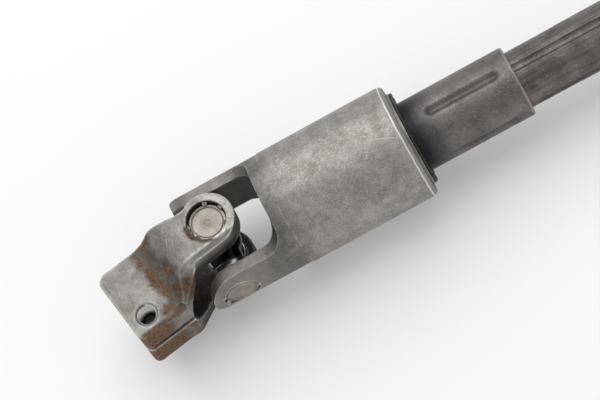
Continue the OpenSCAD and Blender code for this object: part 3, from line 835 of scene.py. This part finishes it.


# Bright cut steel with a painted highlight on the crests, and painted shade deeper down the hole.
thread_layers = (
    (carried_mask("crest", 1.0), thread_crest_bright_and_highlight, -0.1),
    (carried_mask("deep", 1.0), thread_deep_shade, 0.3),
)
thread_material = steel_material(
    "thread_steel", thread_dark, thread_light, rough=0.3, patch_mm=2, edge_light=0.0, layers=thread_layers
)
thread_faces = strip_faces(len(thread_points) // len(thread_profile), len(thread_profile))
thread_piece = mesh_piece("pinch_bolt_thread", thread_points, thread_faces, thread_material)
thread_reach = np.hypot(*(np.array(thread_points)[:, :2] - thread_middle).T)
thread_depth = thread_top - np.array(thread_points)[:, 2]
add_mask(thread_piece.data, "crest", (thread_root_r - thread_reach) / (thread_root_r - thread_crest_r))
add_mask(thread_piece.data, "deep", (thread_depth - thread_shade_start) / thread_fade)
thread_piece.data.transform(clamp_frame)
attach(thread_piece, "clamp_yoke")

# Stakes: metal of an ear that a punch has pushed over the edge of its cup, to hold the pressed-in cup.
# Each is a small wedge that slopes down onto the cup, bare and bright from the punch.
cup_face = 21.5 * MM
ear_bore_r = 7.5 * MM
stake_root = 0.7 * MM
stake_reach = 1.1 * MM
stake_sunk = 0.05 * MM
stake_round = 0.18 * MM
stake_root_half = 1.25 * MM
stake_tip_half = 0.8 * MM
stake_tip_share = 0.35
stake_sharp_angle = 50
stake_dark = (0.36, 0.34, 0.315)
stake_light = (0.66, 0.64, 0.61)
stake_sides = ((3, 2, 1, 0), (4, 5, 6, 7), (0, 1, 5, 4), (1, 2, 6, 5), (2, 3, 7, 6), (3, 0, 4, 7))
clamp_stake_angles = (62, 12, -42, -100, 205, 178, 160)
clamp_stake_height = 2.2 * MM


def stakes(cup_name, body, angles, height, material):
    """Wedges over the rim of a cup, at these angles in degrees."""
    shape = bmesh.new()
    low = cup_face - stake_sunk
    ends = (
        (ear_bore_r + stake_root, cup_face + height, stake_root_half),
        (ear_bore_r - stake_reach, cup_face + stake_tip_share * height, stake_tip_half),
    )
    for angle in angles:
        spin = Matrix.Rotation(radians(angle), 4, "Z")
        corners = []
        for radius, top, half in ends:
            corners += [(radius, -half, low), (radius, half, low), (radius, half, top), (radius, -half, top)]
        made = [shape.verts.new(spin @ Vector(corner)) for corner in corners]
        for side in stake_sides:
            shape.faces.new([made[index] for index in side])
    bmesh.ops.recalc_face_normals(shape, faces=shape.faces)
    bmesh.ops.bevel(shape, geom=shape.edges[:], offset=stake_round, segments=2, affect="EDGES", profile=0.5)
    mesh = bpy.data.meshes.new("stakes_" + cup_name)
    shape.to_mesh(mesh)
    shape.free()
    mesh.shade_smooth()
    mesh.set_sharp_from_angle(angle=radians(stake_sharp_angle))
    mesh.materials.append(material)
    mesh.transform(cup_frames[cup_name])
    piece = new_object("stakes_" + cup_name, mesh)
    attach(piece, body)
    return piece


stake_material = steel_material(
    "stake_steel", stake_dark, stake_light, rough=0.34, patch_mm=2, edge_light=0.9
)
for cup_name in ("clamp_cup_upper", "clamp_cup_lower"):
    clamp_stakes = stakes(cup_name, "clamp_yoke", clamp_stake_angles, clamp_stake_height, stake_material)

# Bore serrations: straight teeth that a broach has cut round the clamp's bore, with one left out at the slit.
# They grip the steering gear's shaft when the pinch bolt draws the block together.
bore_start = -45.0 * MM
bore_end = -25.3 * MM
tooth_count = 35
tooth_tip_r = 7.65 * MM
tooth_root_r = 8.45 * MM
tooth_root_half = 0.36 * MM
tooth_tip_half = 0.1 * MM
tooth_section = (
    (-tooth_root_half, -tooth_root_r), (tooth_root_half, -tooth_root_r),
    (tooth_tip_half, -tooth_tip_r), (-tooth_tip_half, -tooth_tip_r),
)
tooth_points = [(along, across, up) for along in (bore_start, bore_end) for across, up in tooth_section]

# Ring of copies: repeats a mesh round the X axis, from the first turn on, one step apart.
ring_inputs = (
    ("Geometry", "Geometry"), ("Count", "Int"), ("First Turn", "Float"), ("Step", "Float"),
    ("Material", "Material"),
)
ring_outputs = (("Geometry", "Geometry"),)
ring_group, ring_in, ring_out = new_group("ring_of_copies", ring_inputs, ring_outputs, "GeometryNodeTree")
ring_value = ring_in.outputs
ring_points = add_node(ring_group, "GeometryNodePoints", (("Count", ring_value["Count"]),)).outputs[0]
ring_index = add_node(ring_group, "GeometryNodeInputIndex").outputs["Index"]
ring_turn = calc(ring_group, "MULTIPLY_ADD", ring_index, ring_value["Step"], ring_value["First Turn"])
ring_rotation = add_node(ring_group, "ShaderNodeCombineXYZ", (("X", ring_turn),)).outputs[0]
copy_inputs = (("Points", ring_points), ("Instance", ring_value["Geometry"]), ("Rotation", ring_rotation))
ring_copies = add_node(ring_group, "GeometryNodeInstanceOnPoints", copy_inputs).outputs[0]
ring_real = add_node(ring_group, "GeometryNodeRealizeInstances", (("Geometry", ring_copies),)).outputs[0]
finish_inputs = (("Geometry", ring_real), ("Material", ring_value["Material"]))
ring_finished = add_node(ring_group, "GeometryNodeSetMaterial", finish_inputs).outputs[0]
connect(ring_group, ring_out, Geometry=ring_finished)


def ring_of_copies(piece, count, first_turn, step, material):
    """Repeats a piece round the X axis and gives back its new mesh."""
    modifier = piece.modifiers.new("ring_of_copies", "NODES")
    modifier.node_group = ring_group
    values = {"Count": count, "First Turn": first_turn, "Step": step, "Material": material}
    for item in ring_group.interface.items_tree:
        if item.in_out == "INPUT" and item.name in values:
            modifier[item.identifier] = values[item.name]
    return settle(piece)


tooth_faces = strip_faces(2, len(tooth_section))
tooth_piece = mesh_piece("bore_serrations", tooth_points, tooth_faces, forged_material)
tooth_step = tau / (tooth_count + 1)
tooth_mesh = ring_of_copies(tooth_piece, tooth_count, tooth_step - pi / 2, tooth_step, forged_material)
tooth_mesh.transform(clamp_frame)
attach(tooth_piece, "clamp_yoke")

# Tubular yoke: a turned steel tube with two ears and a window between them, satin and scratched.
# The ears and the turned neck are duller than the tube, and its end has a turned chamfer with a painted highlight
# on it, a painted shade line after it, and painted shade on the end face.
along_tube = ((0, 0, 0), (0, pi / 2, 0))
ear_end_x = joint_centre.x + 12 * MM
ear_root_x = joint_centre.x + 18 * MM
neck_end = joint_centre.x + 28.3 * MM
tube_end = joint_centre.x + 81.5 * MM
turned_dark = (0.37, 0.347, 0.317)
turned_light = (0.53, 0.512, 0.487)
turned_pitch_mm = 0.6
neck_dirt = (0.02, 0.018, 0.016)
ear_grey = (0.42, 0.40, 0.375)
# Painted light at the end of the tube: a highlight near the end, a shade line, and shade on the end face.
end_chamfer_highlight = (0.80, 0.79, 0.76)
end_shade_line = (0.23, 0.22, 0.20)
end_face_shade = (0.10, 0.095, 0.088)
tube_stake_angles = (-12, 165, 200)
tube_stake_height = 1.2 * MM
# Bands along the yoke: where each is clear and where it is full, its share, how ragged it is, and its colour.
yoke_bands = (
    (neck_end + 9 * MM, neck_end - 1 * MM, 0.5, 6 * MM, neck_dirt),
    (ear_root_x, ear_end_x, 0.3, 3 * MM, ear_grey),
    (tube_end - 1.7 * MM, tube_end - 1.4 * MM, 0.85, 0.5 * MM, end_chamfer_highlight),
    (tube_end - 1.1 * MM, tube_end - 0.9 * MM, 0.85, 0.5 * MM, end_shade_line),
    (tube_end - 0.05 * MM, tube_end - 0.02 * MM, 0.85, 0.0, end_face_shade),
)


def along_mask(clear_at, full_at, share, ragged):
    """Makes a mask that grows along the column between two places, with a ragged edge."""

    def make_mask(tree):
        place = add_node(tree, "ShaderNodeTexCoord").outputs["Object"]
        along = add_node(tree, "ShaderNodeSeparateXYZ", (("Vector", place),)).outputs["X"]
        ragged_noise = cloud(tree, size_mm=3.0, detail=5.0)
        place_along = calc(tree, "MULTIPLY_ADD", ragged_noise, ragged, along)
        return calc(tree, "MULTIPLY", stretch(tree, place_along, clear_at, full_at), share)

    return make_mask


def band_layers(bands):
    """Makes a layer of a steel material from each band along the column."""
    return [(along_mask(*place), band_colour, 0.0) for *place, band_colour in bands]


tube_yoke_material = steel_material(
    "turned_steel", turned_dark, turned_light, rough=0.58, patch_mm=5,
    speckle_mm=0.6, speckle=0.5, scratch=0.65, edge_mm=0.75, edge_light=0.95, bump=0.4,
    lathe=(*along_tube, turned_pitch_mm), lathe_share=0.16, layers=band_layers(yoke_bands),
)
finish_node("tube_yoke", tube_yoke_material)
for cup_name in ("tube_cup_front", "tube_cup_rear"):
    tube_stakes = stakes(cup_name, "tube_yoke", tube_stake_angles, tube_stake_height, stake_material)

# Bush sleeves and stop ring: thin drawn steel; the outer sleeve is pressed in the yoke, the inner one and the
# lugged ring on the column tube.
sleeve_dark = (0.22, 0.205, 0.185)
sleeve_light = (0.38, 0.36, 0.33)
sleeve_pitch_mm = 0.5
sleeve_material = steel_material(
    "sleeve_steel", sleeve_dark, sleeve_light, rough=0.45, patch_mm=6,
    scratch=0.2, edge_light=0.8, lathe=(*along_tube, sleeve_pitch_mm),
)
for node_name in ("bush_outer_sleeve", "bush_inner_sleeve", "stop_ring"):
    finish_node(node_name, sleeve_material)

# Bush rubber: black rubber bonded between the two sleeves, which lets the column twist a little.
# At the end it is squeezed into an uneven lip over the outer sleeve.
round_steps = 192
lip_back = joint_centre.x + 82.5 * MM
lip_t = 1.0 * MM
lip_r = 18.7 * MM
lip_bore_r = 14.29 * MM
rubber_r = 17.96 * MM
rubber_bore_r = 15.16 * MM
rubber_start = joint_centre.x + 37.5 * MM
lip_wave = 0.5 * MM
lip_wave_size = 2.6 * MM
lip_bulge_share = 0.6
lip_steps = 7
rubber_black = (0.010, 0.010, 0.011)
rubber_dust = (0.050, 0.047, 0.045)


def ring_at(along, radius):
    """Points of a circle round the column's axis; the radius is one number or one for each point."""
    turns = np.arange(round_steps) * tau / round_steps
    radii = np.broadcast_to(radius, round_steps)
    places = np.broadcast_to(along, round_steps)
    return np.column_stack((places, -radii * np.sin(turns), radii * np.cos(turns)))


rubber_profile = [(rubber_start, rubber_bore_r), (rubber_start, rubber_r), (lip_back, rubber_r)]
for turn in np.linspace(-pi / 2, pi / 2, lip_steps):
    lip_along = lip_back + lip_t / 2 * (1 + sin(turn))
    rubber_profile.append((lip_along, lip_r - lip_t / 2 + lip_t / 2 * cos(turn)))
rubber_profile += [(lip_back + lip_t, lip_bore_r), (lip_back, lip_bore_r), (lip_back, rubber_bore_r)]
rubber_points = np.concatenate([ring_at(along, radius) for along, radius in rubber_profile])
for point in rubber_points:
    past = np.clip((point[0] - lip_back) / lip_t, 0, 1)
    if past > 0 and np.hypot(point[1], point[2]) > rubber_r:
        wave = uneven(point, lip_wave_size)
        point[0] += wave * lip_wave * past
        point[1:] *= 1 + lip_bulge_share * wave * lip_wave / lip_r
bush_material = rubber_material("bush_rubber", rubber_black, rubber_dust, rough=0.6, patch_mm=3)
rubber_faces = strip_faces(len(rubber_profile), round_steps, closed=True)
rubber_piece = mesh_piece("bush_rubber_moulding", rubber_points.tolist(), rubber_faces, bush_material)
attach(rubber_piece, "tube_yoke")
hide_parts("bush_rubber")

# Column tube: a drawn steel tube, brown-grey and oily, with a dark smear of grease next to the rubber.
# Oblong dimples are pressed in near its mouth and darkened inside with dirt and painted shade, and their ridges
# inside guide the inner shaft.
tube_r = 14.09 * MM
tube_bore_r = 11.69 * MM
tube_foot = joint_centre.x + 27 * MM
tube_mouth = joint_centre.x + 127.5 * MM
tube_chamfer = 0.4 * MM
tube_chamfer_run = 0.6 * MM
dimple_ends = (tube_mouth - 33.7 * MM, tube_mouth - 7.7 * MM)
dimple_depth = 1.3 * MM
dimple_half = 2.9 * MM
dimple_flat = 0.1 * MM
ridge_depth = 1.2 * MM
ridge_half = 2.7 * MM
ridge_flat = 0.5 * MM
dimple_count = 4
plain_rings = 12
plain_end = tube_mouth - 40 * MM
pressed_rings = 82
pressed_start = tube_mouth - 39.6 * MM
bore_sink = 1.05
tube_dark = (0.150, 0.139, 0.133)
tube_light = (0.240, 0.224, 0.214)
tube_pitch_mm = 1.2
tube_grease = (0.024, 0.024, 0.028)
# Dirt and painted shade inside the dimples, darkest where they sink deepest.
dimple_shade_and_dirt = (0.050, 0.047, 0.046)
dimple_shade_and_dirt_share = 0.5
mouth_bright = (0.46, 0.42, 0.38)
# Bands along the tube, given as those of the yoke are.
tube_bands = (
    (joint_centre.x + 98 * MM, joint_centre.x + 88 * MM, 0.95, 4.0 * MM, tube_grease),
    (tube_mouth - 0.8 * MM, tube_mouth - 0.5 * MM, 0.5, 0.3 * MM, mouth_bright),
)


def pressed(along, flat, half):
    """How deep each point of a circle lies in a dimple, from 0 to 1."""
    turns = np.arange(round_steps) * tau / round_steps
    spacing = tau / dimple_count
    aside = ((turns + spacing / 2) % spacing - spacing / 2) * tube_r
    beyond = along - np.clip(along, *dimple_ends)
    share = np.clip((half - np.hypot(aside, beyond)) / (half - flat), 0, 1)
    return share * share * (3 - 2 * share)


plain_places = np.linspace(tube_foot, plain_end, plain_rings)
pressed_places = np.linspace(pressed_start, tube_mouth - tube_chamfer_run, pressed_rings)
tube_places = np.concatenate((plain_places, pressed_places))
tube_rings = []
for along in tube_places:
    tube_rings.append(ring_at(along, tube_r - dimple_depth * pressed(along, dimple_flat, dimple_half)))
tube_rings.append(ring_at(tube_mouth, tube_r - tube_chamfer))
tube_rings.append(ring_at(tube_mouth, tube_bore_r + tube_chamfer))
for along in tube_places[::-1]:
    tube_rings.append(ring_at(along, tube_bore_r - ridge_depth * pressed(along, ridge_flat, ridge_half)))
tube_layers = band_layers(tube_bands)
tube_layers.append((carried_mask("dimple_shade_and_dirt", dimple_shade_and_dirt_share), dimple_shade_and_dirt, 0.0))
tube_material = steel_material(
    "tube_steel", tube_dark, tube_light, rough=0.5, patch_mm=9,
    speckle_mm=0.9, speckle=0.3, scratch=0.3, edge_light=0.8,
    lathe=(*along_tube, tube_pitch_mm), lathe_share=0.15, layers=tube_layers,
)
tube_points = np.concatenate(tube_rings).tolist()
tube_faces = strip_faces(len(tube_rings), round_steps, closed=True)
tube_piece = mesh_piece("column_tube_pressing", tube_points, tube_faces, tube_material)
tube_sink = (tube_r - np.hypot(*np.array(tube_points)[:, 1:].T)) / dimple_depth
add_mask(tube_piece.data, "dimple_shade_and_dirt", np.where(tube_sink < bore_sink, tube_sink, 0))
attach(tube_piece, "column_tube")
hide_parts("column_tube")

# Inner shaft: a drawn hollow steel shaft with four flutes, and a serrated stub at its upper end.
# It is phosphated and greased, slides on the ridges in the column tube, and keeps its CAD shape.
shaft_dark = (0.118, 0.106, 0.101)
shaft_light = (0.228, 0.205, 0.196)
streak_colour = (0.045, 0.040, 0.037)
streak_size = (26 * MM, 1.1 * MM, 1.1 * MM)
streak_share = 0.6


def along_streaks(tree):
    """A mask of long dark streaks that run along the column."""
    streak_noise = drawn_out(tree, streak_size, detail=6.0, rough=0.65)
    return calc(tree, "MULTIPLY", stretch(tree, streak_noise, low=0.46, high=0.72), streak_share)


shaft_material = steel_material(
    "shaft_steel", shaft_dark, shaft_light, rough=0.5, patch_mm=8,
    scratch=0.25, edge_light=0.8, bump=0.5, layers=((along_streaks, streak_colour, 0.0),),
)
finish_node("inner_shaft", shaft_material)
